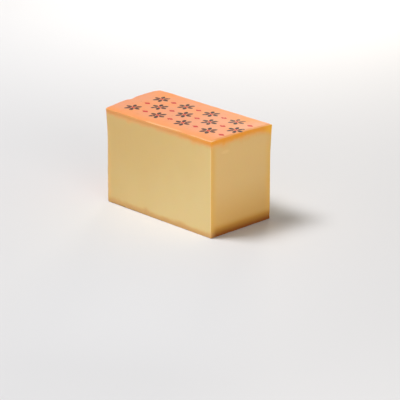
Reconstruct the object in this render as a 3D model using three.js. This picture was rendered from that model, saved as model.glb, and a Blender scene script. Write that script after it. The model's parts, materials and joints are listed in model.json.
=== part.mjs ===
// A block of hard mountain cheese, cut from a big round wheel.
//
// A bar was cut out of the wheel with two almost parallel cuts, one of them just past the wheel's middle,
// and the bar was cut to length. So the block has rind on three sides: the wheel's two flat faces,
// which are the block's top and bottom, and the wheel's rounded heel, which is the block's left end.
// The other three sides are bare cut cheese.
//
// Millimetres, +Z up, +X from the heel to the end cut, +Y from the front cut to the back cut.
// The origin is the middle of the block's bounding box, on the face that it stands on.

import * as THREE from "three";
import { mergeVertices } from "three/addons/utils/BufferGeometryUtils.js";

// The wheel that the block comes from
const WHEEL_RADIUS = 300;
const WHEEL_HEIGHT = 105;

// The three cuts
const BLOCK_LENGTH = 173.1; // from the heel's furthest point to the foot of the end cut, along the back
const BLOCK_WIDTH = 87; // between the front and back cuts, halfway along
const CENTRE_TO_BACK_CUT = 11.5; // the wheel's centre lies this far in front of the back cut
const BACK_CUT_SKEW = 1.6; // the block is this much wider at the heel than at the end cut
const END_CUT_SKEW = 1.4; // the front is cut this much shorter than the back
const END_CUT_FLARE = 1.8; // the end cut's upper back corner leans out
const END_FLARE_HEIGHT = 35;

// The heel is slightly hollow between its two rims, and the upper rim stands furthest out
const UPPER_RIM_FLARE = 2.3;
const LOWER_RIM_FLARE = 1.1;
const WAIST_HEIGHT = 65;

// The heel's edges are worn round, and edges that a knife left are only just eased
const UPPER_RIM_RADIUS = 3;
const LOWER_RIM_RADIUS = 4;
const FRONT_CORNER_RADIUS = 5.5;
const BACK_CORNER_RADIUS = 8;
const CUT_EDGE_EASE = 0.7;

// The upper rind is crowned at the end cut, and swells a little along the front cut
const END_CROWN = 1;
const RIND_SWELL = 0.25;
const SWELL_LENGTH = 105;
const FIRST_SWELL = 22; // from the heel to the first crest

// Facets: the largest step on a flat side, and the steps across an eased edge and a rounded one
const FLAT_STEP = 10;
const EASE_STEPS = 2;
const ROUND_STEPS = 6;

const PASTE_COLOUR = 0xf3d79b;
const PASTE_ROUGHNESS = 0.55;

const { clamp, lerp, smoothstep } = THREE.MathUtils;

// Grid lines over one end of a side, counted from that end: over the eased edge,
// and then over the rounded edge where there is one.
function endLines(roundRadius) {
  const lines = [0];
  for (let i = 1; i <= EASE_STEPS; i++) {
    lines.push((CUT_EDGE_EASE * i) / EASE_STEPS);
  }
  for (let i = 1; roundRadius > 0 && i <= ROUND_STEPS; i++) {
    lines.push(lerp(CUT_EDGE_EASE, roundRadius, i / ROUND_STEPS));
  }
  return lines;
}

// Grid lines along one side of the block, from 0 to its length: close together over
// its two ends, and evenly spread over the flat stretch between them.
function gridLines(length, lowRadius, highRadius) {
  const low = endLines(lowRadius);
  const high = endLines(highRadius).map((inset) => length - inset).reverse();
  const [flatStart, flatEnd] = [low.at(-1), high[0]];
  const flatSteps = Math.ceil((flatEnd - flatStart) / FLAT_STEP);
  const flat = [];
  for (let i = 1; i < flatSteps; i++) {
    flat.push(lerp(flatStart, flatEnd, i / flatSteps));
  }
  return [...low, ...flat, ...high];
}

// How far a place is into an edge that lies that far away: 0 outside it, 1 at the edge itself.
function intoEdge(distance, radius) {
  return clamp(1 - distance / radius, 0, 1);
}

// Eases the edges that a knife left: the four long ones, and the four of the end cut.
function easeCutEdges(point) {
  const into = (distance) => intoEdge(distance, CUT_EDGE_EASE);
  const sharp = new THREE.Vector3(
    into(BLOCK_LENGTH - point.x),
    into(BLOCK_WIDTH - point.y) - into(point.y),
    into(WHEEL_HEIGHT - point.z) - into(point.z),
  );
  if (sharp.length() === 0) return;
  const reach = Math.max(...sharp.toArray().map(Math.abs));
  const eased = sharp.clone().setLength(reach);
  point.addScaledVector(eased.sub(sharp), CUT_EDGE_EASE);
}

// Rounds one edge of the heel. It lies where the blank begins or ends along the axis y or z,
// and its square corner becomes a quarter circle.
function roundHeelEdge(point, radius, axis, edgePlace) {
  const inward = edgePlace > 0 ? -1 : 1;
  const towardsHeel = intoEdge(point.x, radius);
  const towardsEdge = intoEdge(Math.abs(edgePlace - point[axis]), radius);
  const pull = (across) => radius * (1 - Math.sqrt(1 - across ** 2 / 2));
  point.x += towardsHeel * pull(towardsEdge);
  point[axis] += inward * towardsEdge * pull(towardsHeel);
}

// Rounds the heel's two rims and its two upright corners.
function roundHeel(point) {
  roundHeelEdge(point, UPPER_RIM_RADIUS, "z", WHEEL_HEIGHT);
  roundHeelEdge(point, LOWER_RIM_RADIUS, "z", 0);
  roundHeelEdge(point, FRONT_CORNER_RADIUS, "y", 0);
  roundHeelEdge(point, BACK_CORNER_RADIUS, "y", BLOCK_WIDTH);
}

// How far the wheel's round outline falls short of its furthest point, at a place across the block.
function heelRetreat(y) {
  const fromCentre = y - (BLOCK_WIDTH - CENTRE_TO_BACK_CUT);
  return WHEEL_RADIUS - Math.sqrt(WHEEL_RADIUS ** 2 - fromCentre ** 2);
}

// How far the heel lies inside its upper rim, at a place up its side: two parabolas that meet at its waist.
function heelHollow(z) {
  const overWaist = Math.max(z - WAIST_HEIGHT, 0) / (WHEEL_HEIGHT - WAIST_HEIGHT);
  const underWaist = Math.max(WAIST_HEIGHT - z, 0) / WAIST_HEIGHT;
  return UPPER_RIM_FLARE * (1 - overWaist ** 2) - LOWER_RIM_FLARE * underWaist ** 2;
}

// Bends the left end to the wheel's outline and hollows it. Both fade out towards the end cut.
function shapeHeel(point) {
  const towardsHeel = 1 - point.x / BLOCK_LENGTH;
  point.x += towardsHeel * (heelRetreat(point.y) + heelHollow(point.z) * towardsHeel);
}

// Skews the end cut, so that the front is shorter, and leans its upper back corner out.
function shapeEndCut(point) {
  const towardsEnd = point.x / BLOCK_LENGTH;
  const back = point.y / BLOCK_WIDTH;
  const up = smoothstep(point.z, WHEEL_HEIGHT - END_FLARE_HEIGHT, WHEEL_HEIGHT);
  point.x += towardsEnd * (END_CUT_SKEW * (back - 1) + END_CUT_FLARE * back * up * towardsEnd);
}

// Skews the back cut, so that the block is wider at the heel.
function skewBackCut(point) {
  point.y += BACK_CUT_SKEW * (point.y / BLOCK_WIDTH) * (0.5 - point.x / BLOCK_LENGTH);
}

// Crowns the upper rind towards the end cut, and gives it long, shallow swells along the front cut.
function shapeUpperRind(point) {
  const offMiddle = (2 * point.y) / BLOCK_WIDTH - 1;
  const crown = END_CROWN * (1 - offMiddle ** 2) * (point.x / BLOCK_LENGTH);
  const wave = Math.cos((2 * Math.PI * (point.x - FIRST_SWELL)) / SWELL_LENGTH);
  const swell = RIND_SWELL * wave * (1 - point.y / BLOCK_WIDTH);
  point.z += (crown + swell) * smoothstep(point.z, 0, WHEEL_HEIGHT);
}

// The block as one closed surface: a finely divided box whose corners are moved, step by step,
// to where the wheel's form and the cuts put them.
function blockGeometry() {
  const xLines = gridLines(BLOCK_LENGTH, BACK_CORNER_RADIUS, 0);
  const yLines = gridLines(BLOCK_WIDTH, FRONT_CORNER_RADIUS, BACK_CORNER_RADIUS);
  const zLines = gridLines(WHEEL_HEIGHT, LOWER_RIM_RADIUS, UPPER_RIM_RADIUS);
  const box = new THREE.BoxGeometry(1, 1, 1, xLines.length - 1, yLines.length - 1, zLines.length - 1);
  box.deleteAttribute("normal");
  box.deleteAttribute("uv");
  const geometry = mergeVertices(box);

  // The unit box's corners stand at even shares of its sides, so each names a line of the grid.
  const onLine = (share, lines) => lines[Math.round((share + 0.5) * (lines.length - 1))];
  const corners = geometry.getAttribute("position");
  const point = new THREE.Vector3();
  for (let i = 0; i < corners.count; i++) {
    point.fromBufferAttribute(corners, i);
    point.set(onLine(point.x, xLines), onLine(point.y, yLines), onLine(point.z, zLines));
    easeCutEdges(point);
    roundHeel(point);
    shapeUpperRind(point);
    shapeHeel(point);
    shapeEndCut(point);
    skewBackCut(point);
    corners.setXYZ(i, ...point);
  }
  return geometry;
}

// Sets a geometry's bounding box on the ground with its middle over the origin.
function standAtOrigin(geometry) {
  geometry.computeBoundingBox();
  const { min, max } = geometry.boundingBox;
  return geometry.translate(-(min.x + max.x) / 2, -(min.y + max.y) / 2, -min.z);
}

const paste = new THREE.MeshStandardMaterial({
  color: PASTE_COLOUR,
  roughness: PASTE_ROUGHNESS,
  metalness: 0,
});

const geometry = standAtOrigin(blockGeometry());
geometry.computeVertexNormals();

const cheeseBlock = new THREE.Mesh(geometry, paste);
cheeseBlock.name = "cheese_block";

const part = new THREE.Group();
part.add(cheeseBlock);

export default part;
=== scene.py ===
"""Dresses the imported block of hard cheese, and sets it on a plain floor in soft studio light.

The block is a bar cut from a big round wheel. Its top, base and heel are rind, and its front,
back and end are bare cut cheese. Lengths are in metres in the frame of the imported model:
+Z up, +X from the heel to the end cut, +Y from the front cut to the back cut.
"""

from __future__ import annotations

import json
import logging
import math
from dataclasses import dataclass, field
from enum import Enum
from pathlib import Path
from typing import Any, Union

import bmesh
import bpy
from mathutils import Matrix, Vector, noise
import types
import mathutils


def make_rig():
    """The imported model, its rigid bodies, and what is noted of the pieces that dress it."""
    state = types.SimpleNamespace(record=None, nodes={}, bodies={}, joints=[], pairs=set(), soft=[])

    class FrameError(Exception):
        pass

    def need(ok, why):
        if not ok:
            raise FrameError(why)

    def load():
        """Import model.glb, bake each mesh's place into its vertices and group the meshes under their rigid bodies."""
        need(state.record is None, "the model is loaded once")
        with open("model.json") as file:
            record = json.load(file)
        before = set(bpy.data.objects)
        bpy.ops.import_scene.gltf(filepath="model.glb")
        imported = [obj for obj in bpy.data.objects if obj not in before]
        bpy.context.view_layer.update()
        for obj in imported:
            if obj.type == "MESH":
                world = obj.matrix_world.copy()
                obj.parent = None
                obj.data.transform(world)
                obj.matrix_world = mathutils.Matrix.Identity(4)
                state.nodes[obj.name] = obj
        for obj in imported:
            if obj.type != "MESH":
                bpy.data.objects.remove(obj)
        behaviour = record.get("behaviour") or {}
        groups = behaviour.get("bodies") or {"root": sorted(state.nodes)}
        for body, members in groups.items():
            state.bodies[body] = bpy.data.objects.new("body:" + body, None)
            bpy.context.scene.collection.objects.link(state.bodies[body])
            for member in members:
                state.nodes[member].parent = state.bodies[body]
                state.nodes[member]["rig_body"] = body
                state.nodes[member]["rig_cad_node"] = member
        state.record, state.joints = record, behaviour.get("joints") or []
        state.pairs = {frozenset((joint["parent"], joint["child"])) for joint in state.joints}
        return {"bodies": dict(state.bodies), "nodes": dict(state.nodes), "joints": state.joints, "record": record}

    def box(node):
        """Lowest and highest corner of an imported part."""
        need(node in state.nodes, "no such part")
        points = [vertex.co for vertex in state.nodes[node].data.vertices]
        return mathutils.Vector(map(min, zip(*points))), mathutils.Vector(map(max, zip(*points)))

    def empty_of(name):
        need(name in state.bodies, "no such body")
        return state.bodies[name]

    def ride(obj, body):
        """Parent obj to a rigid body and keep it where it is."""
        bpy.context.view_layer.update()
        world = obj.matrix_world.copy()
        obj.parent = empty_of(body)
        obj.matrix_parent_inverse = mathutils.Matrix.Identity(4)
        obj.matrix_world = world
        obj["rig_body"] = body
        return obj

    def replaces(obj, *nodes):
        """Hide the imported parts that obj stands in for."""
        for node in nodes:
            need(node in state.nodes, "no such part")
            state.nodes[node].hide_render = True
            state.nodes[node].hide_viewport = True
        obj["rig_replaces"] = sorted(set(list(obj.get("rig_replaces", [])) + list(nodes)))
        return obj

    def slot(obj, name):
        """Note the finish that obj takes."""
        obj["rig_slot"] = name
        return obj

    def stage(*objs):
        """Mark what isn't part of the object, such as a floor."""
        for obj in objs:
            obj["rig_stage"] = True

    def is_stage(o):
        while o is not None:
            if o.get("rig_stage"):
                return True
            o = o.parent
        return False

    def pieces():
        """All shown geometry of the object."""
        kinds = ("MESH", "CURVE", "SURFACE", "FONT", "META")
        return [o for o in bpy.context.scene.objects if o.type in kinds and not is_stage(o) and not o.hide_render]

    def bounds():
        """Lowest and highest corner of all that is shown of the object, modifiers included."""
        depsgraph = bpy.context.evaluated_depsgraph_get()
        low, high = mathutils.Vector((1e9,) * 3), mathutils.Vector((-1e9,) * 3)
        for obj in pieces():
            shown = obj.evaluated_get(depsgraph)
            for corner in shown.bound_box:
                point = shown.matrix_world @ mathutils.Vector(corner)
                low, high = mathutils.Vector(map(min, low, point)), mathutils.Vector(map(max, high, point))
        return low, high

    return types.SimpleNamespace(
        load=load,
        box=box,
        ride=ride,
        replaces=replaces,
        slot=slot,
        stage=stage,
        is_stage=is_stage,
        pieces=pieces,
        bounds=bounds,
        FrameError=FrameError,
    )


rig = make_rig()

log = logging.getLogger("cheese")

MM = 0.001
HALF = 0.5
NOISE_MIDDLE = 0.5
LEVEL_TILT_DEG = 90.0
FULL_DISPLAY = 255.0
SRGB_KNEE = 0.04045
SRGB_SLOPE = 12.92
SRGB_OFFSET = 0.055
SRGB_POWER = 2.4
SIZE_FILE = Path("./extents.json")
DEPTH_LAYER = "rind_depth"
CUT_LAYER = "cut_distance_mm"
CORNER_LAYER = "corner_distance_mm"
HEEL_LAYER = "heel_distance_mm"

RGBA = tuple[float, float, float, float]
Number = Union[float, "Value"]
# Where a mask is 0, and where it is 1.
Span = tuple[float, float]


def clamp(share: float) -> float:
    """Keeps a share between 0 and 1."""
    return min(max(share, 0.0), 1.0)


def ease(place: float, start: float, end: float) -> float:
    """Rises smoothly from 0 at start to 1 at end.

    Args:
        place: Where the rise is read.
        start: Where it begins.
        end: Where it is complete.

    Returns:
        The share of the rise that is reached at the place.
    """
    share = clamp((place - start) / (end - start))
    return share * share * (3.0 - 2.0 * share)


@dataclass(frozen=True)
class Paint:
    """A colour by its display values, from 0 to 255."""

    red: int
    green: int
    blue: int

    @property
    def linear(self) -> RGBA:
        """The colour as the shader takes it."""
        return (*(self._decode(part / FULL_DISPLAY) for part in (self.red, self.green, self.blue)), 1.0)

    @staticmethod
    def _decode(part: float) -> float:
        """Turns one display value into a linear one.

        Args:
            part: The display value, from 0 to 1.

        Returns:
            The linear value, from 0 to 1.
        """
        if part <= SRGB_KNEE:
            return part / SRGB_SLOPE
        return ((part + SRGB_OFFSET) / (1.0 + SRGB_OFFSET)) ** SRGB_POWER


WHITE = Paint(255, 255, 255)
# Places on a ramp with their paints, in rising order.
Stops = tuple[tuple[float, Paint], ...]


class Side(Enum):
    """The two kinds of side on the block, by their material slot."""

    RIND = 0
    CUT = 1


class Axis(Enum):
    """The axes that the heel's edges are placed along."""

    ACROSS = 1
    UP = 2


class Detail(Enum):
    """How many finer layers a noise holds."""

    PLAIN = 1.0
    SOFT = 2.0
    CLOUDY = 3.0
    FINE = 8.0


class Value:
    """A number that varies over a surface. Python's operators on it add Math nodes."""

    def __init__(self, graph: FinishGraph, socket: bpy.types.NodeSocket) -> None:
        """Wraps an output socket of a graph."""
        self.graph = graph
        self.socket = socket

    def _math(self, operation: str, *operands: Number) -> Value:
        """Adds a Math node.

        Args:
            operation: The node's operation.
            operands: Its inputs, in order.

        Returns:
            The node's result.
        """
        node = self.graph.node("ShaderNodeMath", {"operation": operation}, dict(enumerate(operands)))
        return Value(self.graph, node.outputs[0])

    def __add__(self, other: Number) -> Value:
        """self + other"""
        return self._math("ADD", self, other)

    def __radd__(self, other: Number) -> Value:
        """other + self"""
        return self._math("ADD", other, self)

    def __sub__(self, other: Number) -> Value:
        """self - other"""
        return self._math("SUBTRACT", self, other)

    def __rsub__(self, other: Number) -> Value:
        """other - self"""
        return self._math("SUBTRACT", other, self)

    def __mul__(self, other: Number) -> Value:
        """self * other"""
        return self._math("MULTIPLY", self, other)

    def __rmul__(self, other: Number) -> Value:
        """other * self"""
        return self._math("MULTIPLY", other, self)

    def __truediv__(self, other: Number) -> Value:
        """self / other"""
        return self._math("DIVIDE", self, other)

    def __rtruediv__(self, other: Number) -> Value:
        """other / self"""
        return self._math("DIVIDE", other, self)

    def __mod__(self, other: Number) -> Value:
        """self % other, never negative"""
        return self._math("FLOORED_MODULO", self, other)

    def __rmod__(self, other: Number) -> Value:
        """other % self, never negative"""
        return self._math("FLOORED_MODULO", other, self)

    def __or__(self, other: Number) -> Value:
        """The larger of two masks"""
        return self._math("MAXIMUM", self, other)

    def __ror__(self, other: Number) -> Value:
        """The larger of two masks"""
        return self._math("MAXIMUM", other, self)

    def __pow__(self, other: Number) -> Value:
        """self ** other"""
        return self._math("POWER", self, other)

    def __rpow__(self, other: Number) -> Value:
        """other ** self"""
        return self._math("POWER", other, self)

    def __abs__(self) -> Value:
        """abs(self)"""
        return self._math("ABSOLUTE", self)

    def __round__(self) -> Value:
        """round(self)"""
        return self._math("ROUND", self)

    def cosine(self) -> Value:
        """The cosine of an angle in radians."""
        return self._math("COSINE", self)

    def sine(self) -> Value:
        """The sine of an angle in radians."""
        return self._math("SINE", self)

    def angle(self, along: Value) -> Value:
        """The angle, in radians, of the place that lies that far along and self across."""
        return self._math("ARCTAN2", self, along)

    def rise(self, start: float, end: float) -> Value:
        """A mask that rises smoothly from 0 at start to 1 at end, or falls where end is the lower one.

        Args:
            start: The value at which the mask is 0.
            end: The value at which it is 1.

        Returns:
            The mask.
        """
        limits = {"Value": self, "From Min": start, "From Max": end}
        node = self.graph.node("ShaderNodeMapRange", {"interpolation_type": "SMOOTHSTEP"}, limits)
        return Value(self.graph, node.outputs[0])


class FinishGraph:
    """The node tree of one finish."""

    MIX_FACTOR, MIX_FIRST, MIX_SECOND, MIX_RESULT = 0, 6, 7, 2

    def __init__(self, name: str) -> None:
        """Starts an empty material.

        Args:
            name: The material's name.
        """
        self.material = bpy.data.materials.new(name)
        self.material.use_nodes = True
        self.tree = self.material.node_tree
        self.tree.nodes.clear()
        self._coordinates = self.node("ShaderNodeTexCoord")

    def node(
        self,
        kind: str,
        settings: dict[str, Any] | None = None,
        inputs: dict[str | int, Any] | None = None,
    ) -> bpy.types.Node:
        """Adds a node.

        Args:
            kind: The node's type.
            settings: Its settings by name. The stops of a ramp are pairs of place and paint.
            inputs: The values or links of its sockets, by name or number.

        Returns:
            The new node.
        """
        node = self.tree.nodes.new(kind)
        for name, setting in (settings or {}).items():
            if name == "stops":
                self._set_stops(node.color_ramp, setting)
            else:
                setattr(node, name, setting)
        for name, given in (inputs or {}).items():
            socket = given.socket if isinstance(given, Value) else given
            if isinstance(socket, bpy.types.NodeSocket):
                self.tree.links.new(socket, node.inputs[name])
            else:
                node.inputs[name].default_value = socket
        return node

    @staticmethod
    def _set_stops(ramp: bpy.types.ColorRamp, stops: Stops) -> None:
        """Gives a colour ramp its stops.

        Args:
            ramp: The ramp, as a new node has it.
            stops: Its places and paints, in rising order.
        """
        while len(ramp.elements) < len(stops):
            ramp.elements.new(1.0)
        for element, (place, paint) in zip(ramp.elements, stops):
            element.position = place
            element.color = paint.linear

    def place_mm(self) -> tuple[Value, Value, Value]:
        """Reads the place on the block.

        Returns:
            The place along x, y and z, in millimetres.
        """
        split = self.node("ShaderNodeSeparateXYZ", inputs={"Vector": self._coordinates.outputs["Object"]})
        x, y, z = (Value(self, output) / MM for output in split.outputs)
        return x, y, z

    def facing(self) -> tuple[Value, Value, Value]:
        """Reads the way that the surface faces.

        Returns:
            The parts along x, y and z of a way of length 1.
        """
        split = self.node("ShaderNodeSeparateXYZ", inputs={"Vector": self._coordinates.outputs["Normal"]})
        x, y, z = (Value(self, output) for output in split.outputs)
        return x, y, z

    def layer(self, name: str) -> Value:
        """The number that the mesh holds under that name."""
        node = self.node("ShaderNodeAttribute", {"attribute_name": name})
        return Value(self, node.outputs["Fac"])

    def speckle(
        self,
        grain: float,
        detail: Detail = Detail.SOFT,
        stretch: Vector = Vector((1.0, 1.0, 1.0)),
    ) -> Value:
        """Cloudy noise from about 0 to 1.

        Args:
            grain: The size of its clouds, in metres.
            detail: How many finer layers it holds.
            stretch: How much longer its clouds are along x, y and z.

        Returns:
            The noise.
        """
        squeeze = [1.0 / part for part in stretch]
        scaled = self.node("ShaderNodeMapping", inputs={
            "Vector": self._coordinates.outputs["Object"],
            "Scale": squeeze,
        })
        node = self.node("ShaderNodeTexNoise", inputs={
            "Vector": scaled.outputs[0],
            "Scale": 1.0 / grain,
            "Detail": detail.value,
        })
        return Value(self, node.outputs[0])

    def mix(self, share: Number, first: Any, second: Any) -> bpy.types.NodeSocket:
        """Mixes two colours.

        Args:
            share: How much of the second colour shows.
            first: The colour under it, a paint or a link.
            second: The colour over it, a paint or a link.

        Returns:
            The mixed colour.
        """
        colours = [side.linear if isinstance(side, Paint) else side for side in (first, second)]
        node = self.node("ShaderNodeMix", {"data_type": "RGBA"}, {
            self.MIX_FACTOR: share,
            self.MIX_FIRST: colours[0],
            self.MIX_SECOND: colours[1],
        })
        return node.outputs[self.MIX_RESULT]

    def ramp(self, share: Value, stops: Stops) -> bpy.types.NodeSocket:
        """The colour on a ramp of paints, at a share from 0 to 1."""
        return self.node("ShaderNodeValToRGB", {"stops": stops}, {"Fac": share}).outputs["Color"]

    def bump(self, height: Value, depth: float) -> bpy.types.NodeSocket:
        """The normal over a relief of that depth, in metres, whose height runs from 0 to 1."""
        relief = {"Height": height, "Distance": depth, "Strength": 1.0}
        return self.node("ShaderNodeBump", inputs=relief).outputs["Normal"]

    def surface(self, varying: dict[str, Any], fixed: dict[str, Any]) -> bpy.types.Material:
        """Ends the graph in its shader.

        Args:
            varying: What changes over the surface, by socket.
            fixed: What is the same all over, by socket.

        Returns:
            The finished material.
        """
        shader = self.node("ShaderNodeBsdfPrincipled", inputs={**fixed, **varying})
        self.node("ShaderNodeOutputMaterial", inputs={"Surface": shader.outputs["BSDF"]})
        return self.material


@dataclass(frozen=True)
class RosettePrint:
    """A stamped design of rosettes and lozenges, in staggered rows along the upper rind.

    Lengths are in millimetres. The grains of its wear are in metres, as every noise's are, and the blur
    of its outlines is a share of each shape's reach.
    """

    dark_ink: Paint = Paint(58, 42, 46)
    red_ink: Paint = Paint(216, 50, 54)
    row_pitch: float = 21.0
    outer_row: int = 1
    stagger: float = 0.5
    rosette_pitch: float = 38.0
    petals: int = 6
    petal_place: float = 6.0
    petal_half_length: float = 3.7
    petal_half_width: float = 2.1
    heart_radius: float = 1.9
    lozenge_half_length: float = 4.4
    lozenge_half_width: float = 3.0
    outline_blur: float = 0.15
    end_blur: float = 0.15
    start: float = -66.6
    end: float = 85.2
    upward: Span = (0.7, 0.85)
    speck_grain: float = 0.003
    specks: Span = (0.24, 0.42)
    patch_grain: float = 0.022
    patches: Span = (0.18, 0.36)

    def stamp(self, graph: FinishGraph, rind: bpy.types.NodeSocket) -> bpy.types.NodeSocket:
        """Stamps the design on the upper rind.

        Args:
            graph: The rind's graph.
            rind: The rind's bare colour.

        Returns:
            The rind's colour with the design on it.
        """
        x, y, _ = graph.place_mm()
        across = y / self.row_pitch
        row = round(across)
        off_row = (across - row) * self.row_pitch
        along = x / self.rosette_pitch + (row % 2) * self.stagger
        off_rosette = (along - round(along)) * self.rosette_pitch
        reach = (off_rosette * off_rosette + off_row * off_row) ** HALF
        inked = self._stamped(graph, x, row) * self._ink_left(graph)
        red = (self._inside(reach / self.heart_radius) | self._lozenge(off_rosette, off_row)) * inked
        dark = self._petals(off_row.angle(off_rosette), reach) * inked
        return graph.mix(red, graph.mix(dark, rind, self.dark_ink), self.red_ink)

    def _stamped(self, graph: FinishGraph, x: Value, row: Value) -> Value:
        """The mask of the stretch that the stamp covers.

        Args:
            graph: The rind's graph.
            x: The place along the block.
            row: The number of the nearest row.

        Returns:
            The mask.
        """
        on_top = graph.facing()[2].rise(*self.upward)
        in_rows = abs(row).rise(self.outer_row + 1, self.outer_row)
        past_start = x.rise(self.start, self.start + self.end_blur)
        before_end = x.rise(self.end, self.end - self.end_blur)
        return on_top * in_rows * (past_start * before_end)

    def _ink_left(self, graph: FinishGraph) -> Value:
        """The mask of the ink that wear has left. It is worn off in specks and in patches.

        Args:
            graph: The rind's graph.

        Returns:
            The mask.
        """
        specks = graph.speckle(self.speck_grain).rise(*self.specks)
        patches = graph.speckle(self.patch_grain).rise(*self.patches)
        return specks * patches

    def _inside(self, reach: Value) -> Value:
        """The mask of a shape, from the reach that is 1 on its outline."""
        return reach.rise(1.0 + self.outline_blur, 1.0 - self.outline_blur)

    def _petals(self, angle: Value, reach: Value) -> Value:
        """The mask of a rosette's petals.

        Args:
            angle: The angle round the rosette's middle, in radians.
            reach: The distance from its middle.

        Returns:
            The mask.
        """
        step = math.tau / self.petals
        turns = angle / step
        off_petal = (turns - round(turns)) * step
        length = (reach * off_petal.cosine() - self.petal_place) / self.petal_half_length
        width = reach * off_petal.sine() / self.petal_half_width
        return self._inside(length * length + width * width)

    def _lozenge(self, along: Value, across: Value) -> Value:
        """The mask of the lozenge between two rosettes, at places given from the middle of one."""
        off_lozenge = self.rosette_pitch / 2 - abs(along)
        return self._inside(off_lozenge / self.lozenge_half_length + abs(across) / self.lozenge_half_width)


@dataclass(frozen=True)
class Translucence:
    """How light glances off a finish and how deep it goes in. It is the same all over the finish."""

    specular: float
    weight: float
    colour_depths: tuple[float, float, float]
    depth: float

    def sockets(self) -> dict[str, Any]:
        """Gives the shader's sockets for it.

        Returns:
            The values of the sockets, by name.
        """
        return {
            "Specular IOR Level": self.specular,
            "Subsurface Weight": self.weight,
            "Subsurface Radius": self.colour_depths,
            "Subsurface Scale": self.depth,
        }


@dataclass(frozen=True)
class RindFinish:
    """Washed rind: orange over the top, browner down the heel and over the base.

    Grains and depths are in metres. Spans along x, y and z, and from a cut, are in millimetres.
    """

    upper: Paint = Paint(252, 160, 96)
    upper_pale: Paint = Paint(242, 162, 121)
    upper_end: Paint = Paint(249, 170, 130)
    end_edge: Paint = Paint(227, 148, 70)
    # Painted highlight for the upper edge of the front.
    rim_highlight_paint: Paint = Paint(255, 206, 152)
    heel: Paint = Paint(240, 162, 96)
    base: Paint = Paint(206, 150, 96)
    brown: Paint = Paint(196, 120, 62)
    bloom: Paint = Paint(244, 198, 148)
    stain: Paint = Paint(226, 132, 74)
    design: RosettePrint = RosettePrint()
    upward: Span = (0.1, 0.8)
    pale_grain: float = 0.045
    pale_patches: Span = (0.25, 0.6)
    pale_from_front: Span = (-44.0, -24.0)
    pale_to_back: Span = (58.0, 26.0)
    pale_to_end: Span = (0.0, 86.0)
    end_slant: float = 0.037
    end_band: Span = (79.5, 84.0)
    end_share: float = 0.9
    base_to_heel: Span = (0.0, 60.0)
    heel_to_top: Span = (70.0, 108.0)
    brown_grain: float = 0.020
    brown_patches: Span = (0.42, 0.68)
    brown_heights: Span = (140.0, 60.0)
    brown_share: float = 0.6
    bloom_grain: float = 0.007
    bloom_specks: Span = (0.52, 0.7)
    bloom_share: float = 0.35
    stain_specks: Span = (0.58, 0.8)
    stain_share: float = 0.25
    # Where the upper edge of the front takes its painted highlight, in patches.
    rim_highlight_grain: float = 0.030
    rim_highlight_patches: Span = (0.38, 0.6)
    rim_highlight_band: Span = (4.0, 0.8)
    rim_highlight_front: Span = (-36.0, -41.0)
    rim_highlight_along: Span = (-60.0, 20.0)
    rim_highlight_share: float = 0.8
    weave_grain: float = 0.0016
    weave_share: float = 0.4
    pebble_grain: float = 0.005
    pebble_share: float = 0.6
    top_smoothness: float = 0.4
    bump_depth: float = 0.0006
    roughness: float = 0.5
    pebble_roughness: float = 0.18
    translucence: Translucence = Translucence(
        specular=0.35, weight=0.15, colour_depths=(1.0, 0.42, 0.2), depth=0.0015,
    )

    def material(self) -> bpy.types.Material:
        """Makes the finish.

        Returns:
            Its material.
        """
        graph = FinishGraph("rind")
        up = graph.facing()[2].rise(*self.upward)
        bare = graph.mix(up, self._sides(graph), self._top(graph))
        stains = graph.speckle(self.pebble_grain, Detail.CLOUDY).rise(*self.stain_specks) * self.stain_share
        stamped = self.design.stamp(graph, graph.mix(stains, bare, self.stain))
        weave = graph.speckle(self.weave_grain, Detail.PLAIN)
        pebbles = graph.speckle(self.pebble_grain)
        relief = self.pebble_share * pebbles + self.weave_share * weave
        return graph.surface(
            varying={
                # The upper edge of the front takes a painted highlight, broken into patches.
                "Base Color": graph.mix(self._rim_highlight(graph) * up, stamped, self.rim_highlight_paint),
                "Roughness": self.roughness + self.pebble_roughness * pebbles,
                "Normal": graph.bump(relief * (1.0 - self.top_smoothness * up), self.bump_depth),
            },
            fixed=self.translucence.sockets(),
        )

    def _top(self, graph: FinishGraph) -> bpy.types.NodeSocket:
        """The colour of the upper rind, with pale patches and a browner band along the end cut.

        Args:
            graph: The rind's graph.

        Returns:
            The colour.
        """
        x, y, _ = graph.place_mm()
        patches = graph.speckle(self.pale_grain, Detail.CLOUDY).rise(*self.pale_patches)
        pale = patches * y.rise(*self.pale_from_front) * y.rise(*self.pale_to_back)
        pale_paint = graph.mix(x.rise(*self.pale_to_end), self.upper_pale, self.upper_end)
        at_end = (x - self.end_slant * y).rise(*self.end_band) * self.end_share
        return graph.mix(at_end, graph.mix(pale, self.upper, pale_paint), self.end_edge)

    def _sides(self, graph: FinishGraph) -> bpy.types.NodeSocket:
        """The colour of the heel and the base, with brown patches and pale bloom.

        Args:
            graph: The rind's graph.

        Returns:
            The colour.
        """
        _, _, z = graph.place_mm()
        sides = graph.mix(z.rise(*self.base_to_heel), self.base, self.heel)
        sides = graph.mix(z.rise(*self.heel_to_top), sides, self.upper)
        patches = graph.speckle(self.brown_grain, Detail.FINE).rise(*self.brown_patches)
        sides = graph.mix(patches * z.rise(*self.brown_heights) * self.brown_share, sides, self.brown)
        specks = graph.speckle(self.bloom_grain, Detail.FINE).rise(*self.bloom_specks)
        return graph.mix(specks * self.bloom_share, sides, self.bloom)

    def _rim_highlight(self, graph: FinishGraph) -> Value:
        """The mask of the painted highlight along the upper edge of the front, where the light catches it, broken into
        patches.

        Args:
            graph: The rind's graph.

        Returns:
            The mask.
        """
        x, y, _ = graph.place_mm()
        at_front = graph.layer(CUT_LAYER).rise(*self.rim_highlight_band) * y.rise(*self.rim_highlight_front)
        patches = graph.speckle(self.rim_highlight_grain, Detail.CLOUDY).rise(*self.rim_highlight_patches)
        return at_front * patches * x.rise(*self.rim_highlight_along) * self.rim_highlight_share


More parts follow.
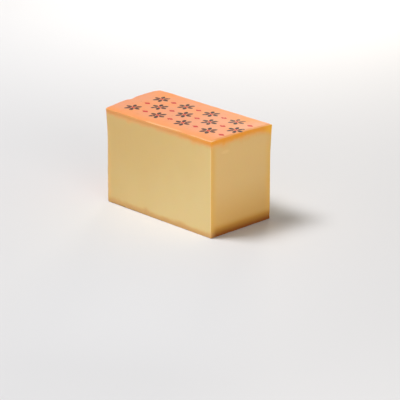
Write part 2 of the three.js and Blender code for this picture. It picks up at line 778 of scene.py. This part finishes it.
@dataclass(frozen=True)
class CutPlace:
    """What the colours of the cut sides depend on, at each place on them. Lengths are in millimetres.

    Attributes:
        x: The place along the block.
        y: The place across it.
        z: The place up it.
        depth: The depth under the rind, as a share of the depth of the rim's colours.
        wavy_depth: The same, with a wavering edge.
        from_corner: The distance from the second nearest cut.
        from_heel: The distance from the heel.
        at_end: 1 on the end cut, and 0 on the front and the back.
    """

    x: Value
    y: Value
    z: Value
    depth: Value
    wavy_depth: Value
    from_corner: Value
    from_heel: Value
    at_end: Value


@dataclass(frozen=True)
class PasteFinish:
    """Smooth cut cheese, with the rind's edge and its amber underside round it.

    Grains and the bump's depth are in metres. Places and spans along x, y and z, and from the heel and
    the corners, are in millimetres. The rim's depth is in thicknesses of the rind, and the stops and
    spans across a rim are shares of that depth.
    """

    rind_edge: Paint = Paint(234, 164, 98)
    rind_inner: Paint = Paint(230, 164, 95)
    rind_amber: Paint = Paint(240, 161, 66)
    under_rind: Paint = Paint(234, 178, 110)
    near_rind: Paint = Paint(228, 184, 120)
    rind_edge_end: Paint = Paint(232, 158, 80)
    rind_amber_end: Paint = Paint(237, 158, 46)
    rind_back_end: Paint = Paint(241, 179, 54)
    under_rind_end: Paint = Paint(233, 174, 99)
    near_rind_end: Paint = Paint(228, 181, 111)
    base_edge: Paint = Paint(208, 160, 99)
    base_inner: Paint = Paint(224, 184, 115)
    # Foot of the end cut: browner rind under painted contact shade.
    base_edge_end_shaded: Paint = Paint(146, 80, 12)
    base_brown_end_shaded: Paint = Paint(178, 120, 40)
    base_amber_end_shaded: Paint = Paint(204, 151, 67)
    paste: Paint = Paint(226, 194, 134)
    # The paste of the long sides runs from a dimmer tone to a paler one as painted bounce light, with random cloudy
    # tone.
    paste_shaded_tone: Paint = Paint(222, 188, 121)
    paste_lit_tone: Paint = Paint(229, 203, 142)
    # Painted lighter strip on the cut sides beside the heel.
    paste_heel_lit: Paint = Paint(234, 194, 124)
    # The end cut's paste is deeper and warmer, partly its own tone and partly painted shade; it darkens towards its
    # foot as painted shade.
    paste_end: Paint = Paint(226, 188, 122)
    paste_end_low_shaded: Paint = Paint(219, 173, 97)
    # Amber for the end cut's corners, in part a painted glow of light shining through them.
    corner_amber_glow: Paint = Paint(228, 180, 90)
    # Pale paint for the scrape on the end cut, and for the painted highlight along the upright corners.
    scrape_and_corner_highlight: Paint = Paint(240, 206, 142)
    heel_rim: Stops = (
        (0.0, rind_edge), (0.13, rind_inner), (0.2, rind_inner), (0.42, under_rind),
        (0.65, near_rind), (1.0, paste),
    )
    amber_rim: Stops = (
        (0.0, rind_edge), (0.06, rind_amber), (0.24, rind_amber), (0.5, under_rind),
        (0.75, near_rind), (1.0, paste_end),
    )
    end_rim: Stops = (
        (0.0, rind_edge_end), (0.06, rind_amber_end), (0.24, rind_amber_end), (0.5, under_rind_end),
        (0.8, near_rind_end), (1.0, paste_end),
    )
    base_rim: Stops = ((0.0, base_edge), (0.15, base_edge), (0.8, base_inner))
    # The end cut's foot: browner rind under painted contact shade.
    end_foot_rind_and_shade: Stops = (
        (0.0, base_edge_end_shaded), (0.12, base_edge_end_shaded), (0.34, base_brown_end_shaded), (0.62, base_amber_end_shaded),
        (1.0, paste_end_low_shaded),
    )
    end_facing: Span = (0.4, 0.9)
    rim_depth: float = 2.6
    rim_to_paste: Span = (0.35, 0.95)
    heel_to_amber: Span = (10.0, 86.0)
    base_to_top: Span = (20.0, 70.0)
    end_rim_back: Span = (28.0, 39.0)
    end_rim_outer: Span = (0.8, 0.3)
    end_rim_back_share: float = 0.9
    waver: float = 1.2
    waver_grain: float = 0.022
    fine_waver: float = 0.5
    fine_waver_grain: float = 0.006
    # The painted bounce-light gradient over the cut sides, with random cloudy patches of tone.
    drift_length: float = 200.0
    drift_height: float = 125.0
    drift_grain: float = 0.05
    drift_patches: float = 0.5
    shaded_to_lit: Span = (-0.75, 0.55)
    # Painted highlight along the upright corners of the front and the back.
    corner_highlight: Span = (2.4, 0.6)
    corner_highlight_share: float = 0.7
    # Painted shade darkening the end cut towards its foot.
    end_shade_heights: Span = (60.0, 5.0)
    # Amber along the end cut's corners, in part a painted glow of light through them, weaker at the upper back.
    amber_glow_corner: Span = (10.0, 1.0)
    amber_glow_share: float = 0.8
    amber_glow_loss: float = 0.55
    amber_glow_loss_back: Span = (30.0, 42.0)
    amber_glow_loss_top: Span = (60.0, 95.0)
    scrape_y: float = -23.7
    scrape_z: float = 90.0
    scrape_half_width: float = 6.0
    scrape_half_height: float = 2.2
    scrape_blur: Span = (1.4, 0.1)
    scrape_share: float = 0.3
    # Painted lighter strip beside the heel.
    heel_strip: Span = (10.5, 4.0)
    heel_strip_foot: Span = (1.0, 12.0)
    heel_strip_top: Span = (120.0, 30.0)
    heel_strip_share: float = 0.9
    # Darkened foot of the end cut: browner rind under painted contact shade.
    foot_growth: float = 1.7
    foot_band: Span = (1.1, 0.5)
    foot_heights: Span = (40.0, 20.0)
    foot_from_front: Span = (-44.0, -35.0)
    foot_front_share: float = 0.3
    curd_grain: float = 0.0022
    curd_share: float = 0.6
    drag_grain: float = 0.0012
    drag_stretch: Vector = Vector((1.0, 1.0, 40.0))
    drag_share: float = 0.4
    bump_depth: float = 0.00012
    roughness: float = 0.46
    curd_roughness: float = 0.16
    translucence: Translucence = Translucence(
        specular=0.35, weight=0.4, colour_depths=(1.0, 0.5, 0.2), depth=0.006,
    )

    def material(self) -> bpy.types.Material:
        """Makes the finish.

        Returns:
            Its material.
        """
        graph = FinishGraph("paste")
        place = self._place(graph)
        inward = place.wavy_depth.rise(*self.rim_to_paste)
        colour = graph.mix(inward, self._rim(graph, place), self._paste(graph, place))
        # A painted lighter strip beside the heel.
        colour = graph.mix(self._lit_beside_heel(place), colour, self.paste_heel_lit)
        # The end cut's foot darkens: browner rind with painted contact shade.
        foot_depth = place.depth / self.foot_growth
        colour = graph.mix(self._at_shaded_foot(place, foot_depth), colour, graph.ramp(foot_depth, self.end_foot_rind_and_shade))
        curd = graph.speckle(self.curd_grain, Detail.CLOUDY)
        drag = graph.speckle(self.drag_grain, Detail.PLAIN, self.drag_stretch)
        return graph.surface(
            varying={
                "Base Color": colour,
                "Roughness": self.roughness + self.curd_roughness * curd,
                "Normal": graph.bump(self.curd_share * curd + self.drag_share * drag, self.bump_depth),
            },
            fixed=self.translucence.sockets(),
        )

    def _place(self, graph: FinishGraph) -> CutPlace:
        """Reads what the colours depend on.

        Args:
            graph: The paste's graph.

        Returns:
            What was read.
        """
        x, y, z = graph.place_mm()
        waver = (graph.speckle(self.waver_grain) - NOISE_MIDDLE) * self.waver
        fine_waver = (graph.speckle(self.fine_waver_grain) - NOISE_MIDDLE) * self.fine_waver
        depth = graph.layer(DEPTH_LAYER) / self.rim_depth
        return CutPlace(
            x=x,
            y=y,
            z=z,
            depth=depth,
            wavy_depth=depth * (1.0 + waver + fine_waver),
            from_corner=graph.layer(CORNER_LAYER),
            from_heel=graph.layer(HEEL_LAYER),
            at_end=graph.facing()[0].rise(*self.end_facing),
        )

    def _paste(self, graph: FinishGraph, place: CutPlace) -> bpy.types.NodeSocket:
        """The colour of the cheese away from the rind: paler towards the end and the foot as painted bounce light
        mixed with random tone, with a painted highlight along the upright corners.

        Args:
            graph: The paste's graph.
            place: What the colour depends on.

        Returns:
            The colour.
        """
        # Paler towards the end cut and the foot: painted bounce light, mixed with random cloudy tone.
        drift = place.x / self.drift_length - place.z / self.drift_height
        drift = drift + graph.speckle(self.drift_grain, Detail.CLOUDY) * self.drift_patches
        long_side = graph.mix(drift.rise(*self.shaded_to_lit), self.paste_shaded_tone, self.paste_lit_tone)
        # Painted highlight along the upright corners of the front and the back.
        at_highlit_corner = place.from_corner.rise(*self.corner_highlight) * self.corner_highlight_share
        long_side = graph.mix(at_highlit_corner, long_side, self.scrape_and_corner_highlight)
        # The end cut takes its own deeper paste, partly painted shade.
        return graph.mix(place.at_end, long_side, self._end_paste(graph, place))

    def _end_paste(self, graph: FinishGraph, place: CutPlace) -> bpy.types.NodeSocket:
        """The colour of the end cut away from the rind: deeper than the long sides' partly as painted shade, darker
        towards the foot as painted shade, amber at the corners partly as a painted glow through them, and with a
        scrape.

        Args:
            graph: The paste's graph.
            place: What the colour depends on.

        Returns:
            The colour.
        """
        # Darker towards the foot: painted shade.
        end = graph.mix(place.z.rise(*self.end_shade_heights), self.paste_end, self.paste_end_low_shaded)
        # Amber along the end cut's corners, in part a painted glow of light shining through them.
        loss = place.y.rise(*self.amber_glow_loss_back) * place.z.rise(*self.amber_glow_loss_top) * self.amber_glow_loss
        amber = place.from_corner.rise(*self.amber_glow_corner) * (self.amber_glow_share - loss)
        end = graph.mix(amber, end, self.corner_amber_glow)
        across = (place.y - self.scrape_y) / self.scrape_half_width
        up = (place.z - self.scrape_z) / self.scrape_half_height
        scrape = (across * across + up * up).rise(*self.scrape_blur) * self.scrape_share
        return graph.mix(scrape, end, self.scrape_and_corner_highlight)

    def _rim(self, graph: FinishGraph, place: CutPlace) -> bpy.types.NodeSocket:
        """The colour of the rind's edge and of the cheese close under it.

        Args:
            graph: The paste's graph.
            place: What the colour depends on.

        Returns:
            The colour.
        """
        heel, amber, end, base = (
            graph.ramp(place.wavy_depth, stops)
            for stops in (self.heel_rim, self.amber_rim, self.end_rim, self.base_rim)
        )
        at_back = place.y.rise(*self.end_rim_back) * place.wavy_depth.rise(*self.end_rim_outer)
        end = graph.mix(at_back * self.end_rim_back_share, end, self.rind_back_end)
        long_side = graph.mix(place.x.rise(*self.heel_to_amber), heel, amber)
        upper = graph.mix(place.at_end, long_side, end)
        return graph.mix(place.z.rise(*self.base_to_top), base, upper)

    def _lit_beside_heel(self, place: CutPlace) -> Value:
        """The mask of the paler strip beside the heel, painted light where the rounded corner turns from the lights.
        """
        heights = place.z.rise(*self.heel_strip_foot) * place.z.rise(*self.heel_strip_top)
        return place.from_heel.rise(*self.heel_strip) * heights * self.heel_strip_share

    def _at_shaded_foot(self, place: CutPlace, foot_depth: Value) -> Value:
        """The mask of the darkened foot of the end cut: browner rind with painted contact shade over it.

        Args:
            place: What the mask depends on.
            foot_depth: The depth above the base, as a share of the darkened band's.

        Returns:
            The mask.
        """
        from_front = place.y.rise(*self.foot_from_front)
        along = self.foot_front_share + (1.0 - self.foot_front_share) * from_front
        return place.at_end * foot_depth.rise(*self.foot_band) * place.z.rise(*self.foot_heights) * along


@dataclass(frozen=True)
class RindThickness:
    """How thick the rind is on the block's three rind sides.

    The upper rind swells towards the back, by a share of its thickness. The swelling starts at a
    share of the block's width.
    """

    upper_at_heel: float = 0.0038
    upper_at_end: float = 0.0046
    back_swelling: float = 0.5
    swelling_start: float = 0.65
    lower: float = 0.0034
    heel: float = 0.0013

    def depth(self, place: Vector, size: Vector) -> float:
        """How deep a place on the square bar lies under the rind.

        Args:
            place: The place on the bar.
            size: The bar's length, width and height.

        Returns:
            The depth under the nearest rind, in thicknesses of that rind.
        """
        along = ease(place.x, 0.0, size.x)
        upper = self.upper_at_heel + (self.upper_at_end - self.upper_at_heel) * along
        upper *= 1.0 + self.back_swelling * along * ease(place.y, self.swelling_start * size.y, size.y)
        return min((size.z - place.z) / upper, place.z / self.lower, place.x / self.heel)


@dataclass(frozen=True)
class Relief:
    """How far the surface stands out from the cut and moulded form, or sinks into it.

    The depths at which cut cheese shrinks are in thicknesses of the rind.
    """

    dent: float = 0.00020
    dent_grain: float = 0.026
    pebble: float = 0.00010
    pebble_grain: float = 0.006
    heel_roughness: float = 1.2
    ripple: float = 0.00035
    ripple_grain: float = 0.012
    ripple_width_mm: float = 5.0
    carry_start: float = 0.001
    carry_end: float = 0.007
    knife_wave: float = 0.00010
    knife_wave_grain: float = 0.040
    shrink: float = 0.00020
    shrink_start: float = 0.4
    shrink_full: float = 1.1
    shrink_end: float = 3.0
    rim_knock: Vector = Vector((-0.0865, 0.001, 0.105))
    rim_knock_depth: float = 0.0012
    rim_knock_radius: float = 0.005
    lift_place: Vector = Vector((-0.042, -0.0435, 0.0))
    lift: float = 0.0003
    lift_radius: float = 0.020

    def on_rind(self, place: Vector, facing: Vector, from_cut: float) -> float:
        """How far the rind stands out at a place.

        Its dents and pebbles are strongest on the heel. It ripples beside the cuts, and has a knock
        in the heel's upper rim.

        Args:
            place: The place on the block.
            facing: The way that the rind faces there.
            from_cut: The distance to the nearest cut, in millimetres.

        Returns:
            The height, in metres. It is negative where the surface sinks.
        """
        dents = self.dent * noise.noise(place / self.dent_grain)
        pebbles = self.pebble * noise.noise(place / self.pebble_grain)
        roughness = 1.0 + self.heel_roughness * max(-facing.x, 0.0)
        ripple = self.ripple * noise.noise(place / self.ripple_grain)
        beside_cut = 1.0 - ease(from_cut, 0.0, self.ripple_width_mm)
        knock = self.rim_knock_depth * self._nearness(place, self.rim_knock, self.rim_knock_radius)
        return (dents + pebbles) * roughness + ripple * beside_cut - knock

    def carried(self, from_rind: float) -> float:
        """How much of the rind's relief a cut side takes on, at a distance from the rind."""
        return 1.0 - ease(from_rind, self.carry_start, self.carry_end)

    def foot_lift(self, place: Vector) -> float:
        """How far the foot of the front is lifted off the floor, at a place near it."""
        return self.lift * self._nearness(place, self.lift_place, self.lift_radius)

    @staticmethod
    def _nearness(place: Vector, middle: Vector, radius: float) -> float:
        """How near a place is to a middle: 1 there, and little outside the radius."""
        return math.exp(-((place - middle).length / radius) ** 2)

    def on_cut(self, place: Vector, depth: float) -> float:
        """How far cut cheese stands out at a place, by the knife's waves and by drying beside the rind.

        Args:
            place: The place on the block.
            depth: Its depth under the rind, in thicknesses of the rind.

        Returns:
            The height, in metres. It is negative where the surface sinks.
        """
        waves = self.knife_wave * noise.noise(place / self.knife_wave_grain)
        sinking = ease(depth, self.shrink_start, self.shrink_full)
        recovery = ease(depth, self.shrink_full, self.shrink_end)
        return waves - self.shrink * (sinking - recovery)


@dataclass
class CheeseBlock:
    """The block itself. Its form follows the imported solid, with a finer surface."""

    node: str = "cheese_block"
    body: str = "root"
    slot: str = "cheese"
    name: str = "dressed_block"
    size: Vector = Vector((0.1731, 0.087, 0.105))
    net_step: float = 0.0012
    net_crowding: float = 0.55
    wheel_radius: float = 0.300
    centre_to_back_cut: float = 0.0115
    back_skew: float = 0.0016
    end_skew: float = 0.0014
    end_flare: float = 0.0018
    end_flare_height: float = 0.035
    upper_rim_flare: float = 0.0023
    lower_rim_flare: float = 0.0011
    waist_height: float = 0.065
    upper_rim_radius: float = 0.003
    lower_rim_radius: float = 0.004
    front_corner_radius: float = 0.0055
    back_corner_radius: float = 0.008
    edge_ease: float = 0.0002
    edge_segments: int = 4
    edge_profile: float = 0.5
    sharp_angle_deg: float = 45.0
    shortest_edge: float = 0.000005
    end_crown: float = 0.001
    swell: float = 0.00025
    swell_length: float = 0.105
    first_swell: float = 0.022
    thickness: RindThickness = RindThickness()
    relief: Relief = Relief()
    rind: RindFinish = RindFinish()
    paste: PasteFinish = PasteFinish()
    low: Vector = field(init=False)
    high: Vector = field(init=False)

    def __post_init__(self) -> None:
        """Takes the block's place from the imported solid."""
        self.low, self.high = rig.box(self.node)

    def build(self) -> bpy.types.Object:
        """Models the block.

        Returns:
            Its object, at the origin and with bare material slots.
        """
        bm = self._blank()
        self._note_places(bm)
        self._shape(bm)
        self._set_in_place(bm)
        self._add_relief(bm)
        self._ease_cut_edges(bm)
        mesh = bpy.data.meshes.new(self.name)
        bm.to_mesh(mesh)
        bm.free()
        mesh.shade_smooth()
        piece = bpy.data.objects.new(self.name, mesh)
        bpy.context.scene.collection.objects.link(piece)
        return piece

    def dress(self, piece: bpy.types.Object) -> None:
        """Gives the block its finishes and its place in the frame.

        Args:
            piece: The block's object.
        """
        for finish in (self.rind, self.paste):
            piece.data.materials.append(finish.material())
        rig.ride(piece, self.body)
        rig.replaces(piece, self.node)
        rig.slot(piece, self.slot)

    def _blank(self) -> bmesh.types.BMesh:
        """Makes a square bar with its sides told apart, and nets it closely at its edges.

        Returns:
            The bar, with its lowest corner at the origin.
        """
        bm = bmesh.new()
        corner = Matrix.Diagonal(self.size).to_4x4() @ Matrix.Translation((HALF, HALF, HALF))
        bmesh.ops.create_cube(bm, size=1.0, matrix=corner)
        for face in bm.faces:
            way = face.normal
            is_cut = max(abs(way.y), way.x) > HALF
            face.material_index = (Side.CUT if is_cut else Side.RIND).value
        for axis, length in enumerate(self.size):
            ring = [edge for edge in bm.edges if self._runs_along(edge, axis)]
            cuts = round(length / self.net_step) - 1
            bmesh.ops.subdivide_edges(bm, edges=ring, cuts=cuts, use_grid_fill=True)
        for vert in bm.verts:
            shares = [place / length for place, length in zip(vert.co, self.size)]
            vert.co = Vector(self._crowd(share) * length for share, length in zip(shares, self.size))
        return bm

    @staticmethod
    def _runs_along(edge: bmesh.types.BMEdge, axis: int) -> bool:
        """Whether an edge of the square bar runs along that axis."""
        start, end = (vert.co for vert in edge.verts)
        return abs(end[axis] - start[axis]) > HALF * (end - start).length

    def _crowd(self, share: float) -> float:
        """Moves a share of a side's length towards the nearer end."""
        return share - self.net_crowding * math.sin(math.tau * share) / math.tau

    def _note_places(self, bm: bmesh.types.BMesh) -> None:
        """Notes how deep each place lies under the rind, and how far from the nearest cuts and the heel.

        Args:
            bm: The square bar, which is given a layer for each.
        """
        layers = bm.verts.layers.float
        for name in (DEPTH_LAYER, CUT_LAYER, CORNER_LAYER, HEEL_LAYER):
            layers.new(name)
        for vert in bm.verts:
            nearest, second, _ = sorted((vert.co.y, self.size.y - vert.co.y, self.size.x - vert.co.x))
            vert[layers[DEPTH_LAYER]] = self.thickness.depth(vert.co, self.size)
            vert[layers[CUT_LAYER]] = nearest / MM
            vert[layers[CORNER_LAYER]] = second / MM
            vert[layers[HEEL_LAYER]] = vert.co.x / MM

    def _shape(self, bm: bmesh.types.BMesh) -> None:
        """Gives the square bar the wheel's form and the slight skew of its cuts.

        Args:
            bm: The bar, which is reshaped.
        """
        for vert in bm.verts:
            self._round_heel(vert.co)
            self._shape_upper_rind(vert.co)
            self._shape_heel(vert.co)
            self._shape_end_cut(vert.co)
            self._skew_back_cut(vert.co)

    def _round_heel(self, place: Vector) -> None:
        """Rounds the heel's two rims and its two upright corners.

        Args:
            place: The place on the bar, which is moved.
        """
        self._round_heel_edge(place, self.upper_rim_radius, Axis.UP, self.size.z)
        self._round_heel_edge(place, self.lower_rim_radius, Axis.UP, 0.0)
        self._round_heel_edge(place, self.front_corner_radius, Axis.ACROSS, 0.0)
        self._round_heel_edge(place, self.back_corner_radius, Axis.ACROSS, self.size.y)

    @staticmethod
    def _round_heel_edge(place: Vector, radius: float, axis: Axis, edge: float) -> None:
        """Rounds one edge of the heel.

        Args:
            place: The place on the bar, which is moved.
            radius: The edge's radius.
            axis: The axis along which the edge is placed.
            edge: Where the edge lies along that axis.
        """
        inward = -1.0 if edge > 0.0 else 1.0
        towards_heel = clamp(1.0 - place.x / radius)
        towards_edge = clamp(1.0 - abs(edge - place[axis.value]) / radius)
        place.x += radius * towards_heel * (1.0 - math.sqrt(1.0 - towards_edge**2 / 2))
        place[axis.value] += radius * towards_edge * (1.0 - math.sqrt(1.0 - towards_heel**2 / 2)) * inward

    def _shape_upper_rind(self, place: Vector) -> None:
        """Crowns the upper rind towards the end cut, and gives it long, shallow swells along the front.

        Args:
            place: The place on the bar, which is moved.
        """
        off_middle = 2.0 * place.y / self.size.y - 1.0
        crown = self.end_crown * (1.0 - off_middle**2) * place.x / self.size.x
        wave = math.cos(math.tau * (place.x - self.first_swell) / self.swell_length)
        swell = self.swell * wave * (1.0 - place.y / self.size.y)
        place.z += (crown + swell) * ease(place.z, 0.0, self.size.z)

    def _shortfall(self, off_centre: float) -> float:
        """How far the wheel's outline falls short of its radius, at a distance from its middle line."""
        return self.wheel_radius - math.sqrt(self.wheel_radius**2 - off_centre**2)

    def _heel_hollow(self, height: float) -> float:
        """How far the heel lies inside its upper rim.

        Args:
            height: The height up its side.

        Returns:
            The distance, which is 0 at the rim.
        """
        over = max(height - self.waist_height, 0.0) / (self.size.z - self.waist_height)
        under = max(self.waist_height - height, 0.0) / self.waist_height
        return self.upper_rim_flare * (1.0 - over**2) - self.lower_rim_flare * under**2

    def _shape_heel(self, place: Vector) -> None:
        """Bends the heel to the wheel's outline and hollows it. Both fade out towards the end cut.

        Args:
            place: The place on the bar, which is moved.
        """
        towards_heel = 1.0 - place.x / self.size.x
        off_centre = self.size.y - self.centre_to_back_cut - place.y
        place.x += towards_heel * (self._shortfall(off_centre) + self._heel_hollow(place.z) * towards_heel)

    def _shape_end_cut(self, place: Vector) -> None:
        """Skews the end cut, so that the front is shorter, and leans its upper back corner out.

        Args:
            place: The place on the bar, which is moved.
        """
        towards_end = place.x / self.size.x
        back = place.y / self.size.y
        up = ease(place.z, self.size.z - self.end_flare_height, self.size.z)
        lean = self.end_flare * back * up * towards_end
        place.x += towards_end * (self.end_skew * (back - 1.0) + lean)

    def _skew_back_cut(self, place: Vector) -> None:
        """Skews the back cut, so that the block is wider at the heel."""
        place.y += self.back_skew * place.y / self.size.y * (HALF - place.x / self.size.x)

    def _ease_cut_edges(self, bm: bmesh.types.BMesh) -> None:
        """Eases every edge of a cut side.

        Args:
            bm: The block, which is changed.
        """
        bm.normal_update()
        sharp = [edge for edge in bm.edges if self._is_cut_edge(edge)]
        bmesh.ops.bevel(
            bm, geom=sharp, offset=self.edge_ease, offset_type="OFFSET", affect="EDGES",
            segments=self.edge_segments, profile=self.edge_profile, material=-1, clamp_overlap=True,
        )
        bmesh.ops.dissolve_degenerate(bm, dist=self.shortest_edge, edges=bm.edges)
        bm.normal_update()

    def _is_cut_edge(self, edge: bmesh.types.BMEdge) -> bool:
        """Whether two sides meet at an edge, at least one of them cut."""
        sides = [Side(face.material_index) for face in edge.link_faces]
        return Side.CUT in sides and edge.calc_face_angle() > math.radians(self.sharp_angle_deg)

    def _set_in_place(self, bm: bmesh.types.BMesh) -> None:
        """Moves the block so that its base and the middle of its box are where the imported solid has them.

        Args:
            bm: The block, which is moved.
        """
        low = Vector(min(vert.co[axis] for vert in bm.verts) for axis in range(3))
        high = Vector(max(vert.co[axis] for vert in bm.verts) for axis in range(3))
        move = (self.low + self.high - low - high) / 2
        move.z = self.low.z - low.z
        bmesh.ops.translate(bm, verts=bm.verts, vec=move)

    def _add_relief(self, bm: bmesh.types.BMesh) -> None:
        """Gives the surface its fine relief, and keeps the base above the floor.

        Args:
            bm: The block, which is changed.
        """
        bm.normal_update()
        depth, from_cut = (bm.verts.layers.float[name] for name in (DEPTH_LAYER, CUT_LAYER))
        for vert in bm.verts:
            rind_ways = [face.normal for face in vert.link_faces if face.material_index == Side.RIND.value]
            if rind_ways:
                way = sum(rind_ways, Vector()).normalized()
                move = way * self.relief.on_rind(vert.co, way, vert[from_cut])
            else:
                move = vert.normal * self.relief.on_cut(vert.co, vert[depth])
                move += self._carried_relief(vert.co, vert[from_cut])
            move.z += self.relief.foot_lift(vert.co)
            vert.co += move
            vert.co.z = max(vert.co.z, self.low.z)

    def _carried_relief(self, place: Vector, from_cut: float) -> Vector:
        """How far a place on a cut side moves with the upper or lower rind beside it.

        Args:
            place: The place on the block.
            from_cut: The distance to the nearest cut, in millimetres.

        Returns:
            The move, up or down.
        """
        from_top, from_base = self.high.z - place.z, place.z - self.low.z
        way = Vector((0.0, 0.0, 1.0 if from_top < from_base else -1.0))
        return way * self.relief.on_rind(place, way, from_cut) * self.relief.carried(min(from_top, from_base))


@dataclass(frozen=True)
class PhotoCamera:
    """The camera, at the photograph's place and angle."""

    place: Vector = Vector((1.44615, -1.40196, 0.7445))
    azimuth_deg: float = 45.42
    elevation_deg: float = 20.05
    lens_mm: float = 180.0
    sensor_mm: float = 36.0

    def build(self) -> bpy.types.Object:
        """Makes the camera and hands it to the scene.

        Returns:
            The camera.
        """
        lens = bpy.data.cameras.new("camera")
        lens.lens = self.lens_mm
        lens.sensor_width = self.sensor_mm
        camera = bpy.data.objects.new("camera", lens)
        turn = Matrix.Rotation(math.radians(self.azimuth_deg), 4, "Z")
        tilt = Matrix.Rotation(math.radians(LEVEL_TILT_DEG - self.elevation_deg), 4, "X")
        camera.matrix_world = Matrix.Translation(self.place) @ turn @ tilt
        bpy.context.scene.collection.objects.link(camera)
        bpy.context.scene.camera = camera
        return camera


@dataclass(frozen=True)
class SoftBox:
    """A square studio light that faces the block."""

    name: str
    place: Vector
    width: float
    power: float
    tint: Paint = WHITE
    aim: Vector = Vector((0.0, 0.0, 0.05))
    spread_deg: float = 180.0

    def build(self) -> bpy.types.Object:
        """Makes the light, and hides it from the camera.

        Returns:
            The light.
        """
        lamp = bpy.data.lights.new(self.name, "AREA")
        lamp.size = self.width
        lamp.energy = self.power
        lamp.color = self.tint.linear[:3]
        lamp.spread = math.radians(self.spread_deg)
        light = bpy.data.objects.new(self.name, lamp)
        light.location = self.place
        light.rotation_euler = (self.place - self.aim).to_track_quat("Z", "Y").to_euler()
        light.visible_camera = False
        bpy.context.scene.collection.objects.link(light)
        return light


@dataclass(frozen=True)
class Studio:
    """A plain pale floor under even light, with a large soft light above and weaker ones round the block."""

    floor_width: float = 8.0
    floor_drop: float = 0.0001
    floor_paint: Paint = Paint(221, 221, 223)
    floor_roughness: float = 0.8
    ambient: float = 0.17
    key: SoftBox = SoftBox("key", Vector((-1.15, -1.15, 3.64)), 1.4, 135.0)
    fill: SoftBox = SoftBox("fill", Vector((1.4, -0.5, 0.42)), 0.8, 8.3, Paint(255, 249, 240))
    card: SoftBox = SoftBox(
        "card", Vector((0.26, -0.36, 0.16)), 0.2, 0.032, aim=Vector((0.06, -0.044, 0.03)), spread_deg=70.0,
    )
    rear: SoftBox = SoftBox("rear", Vector((-0.9, 1.3, 0.24)), 0.4, 8.0, Paint(255, 241, 218))
    backdrop: SoftBox = SoftBox(
        "backdrop", Vector((-0.6, 0.6, 1.0)), 0.5, 0.6, aim=Vector((-0.6, 0.6, 0.0)), spread_deg=70.0,
    )

    def build(self) -> None:
        """Makes the floor and the lights."""
        self._floor()
        self._ambient()
        for light in (self.key, self.fill, self.card, self.rear, self.backdrop):
            light.build()
        bpy.context.scene.view_settings.view_transform = "Standard"

    def _floor(self) -> None:
        """Lays the floor just under the block."""
        bm = bmesh.new()
        drop = Matrix.Translation((0.0, 0.0, -self.floor_drop))
        bmesh.ops.create_grid(bm, x_segments=1, y_segments=1, size=self.floor_width / 2, matrix=drop)
        mesh = bpy.data.meshes.new("floor")
        bm.to_mesh(mesh)
        bm.free()
        graph = FinishGraph("floor")
        fixed = {"Base Color": self.floor_paint.linear, "Roughness": self.floor_roughness}
        mesh.materials.append(graph.surface(varying={}, fixed=fixed))
        floor = bpy.data.objects.new("floor", mesh)
        bpy.context.scene.collection.objects.link(floor)
        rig.stage(floor)

    def _ambient(self) -> None:
        """Lights the scene evenly from all round."""
        world = bpy.data.worlds.new("studio")
        world.use_nodes = True
        sky = world.node_tree.nodes["Background"]
        sky.inputs["Color"].default_value = WHITE.linear
        sky.inputs["Strength"].default_value = self.ambient
        bpy.context.scene.world = world


def write_sizes(packed: tuple[Vector, Vector]) -> None:
    """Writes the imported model's box and the dressed model's box, for comparison.

    Args:
        packed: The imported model's lowest and highest corners.
    """
    boxes = {"cad": packed, "visual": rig.bounds()}
    SIZE_FILE.write_text(json.dumps({name: [list(corner) for corner in box] for name, box in boxes.items()}))


def main() -> None:
    """Builds the camera, the studio and the block, in order."""
    logging.basicConfig(level=logging.INFO, format="%(name)s: %(message)s")
    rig.load()
    packed = tuple(corner.copy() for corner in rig.bounds())
    PhotoCamera().build()
    Studio().build()
    block = CheeseBlock()
    piece = block.build()
    block.dress(piece)
    log.info("%s: %d faces", piece.name, len(piece.data.polygons))
    write_sizes(packed)


if __name__ == "__main__":
    main()
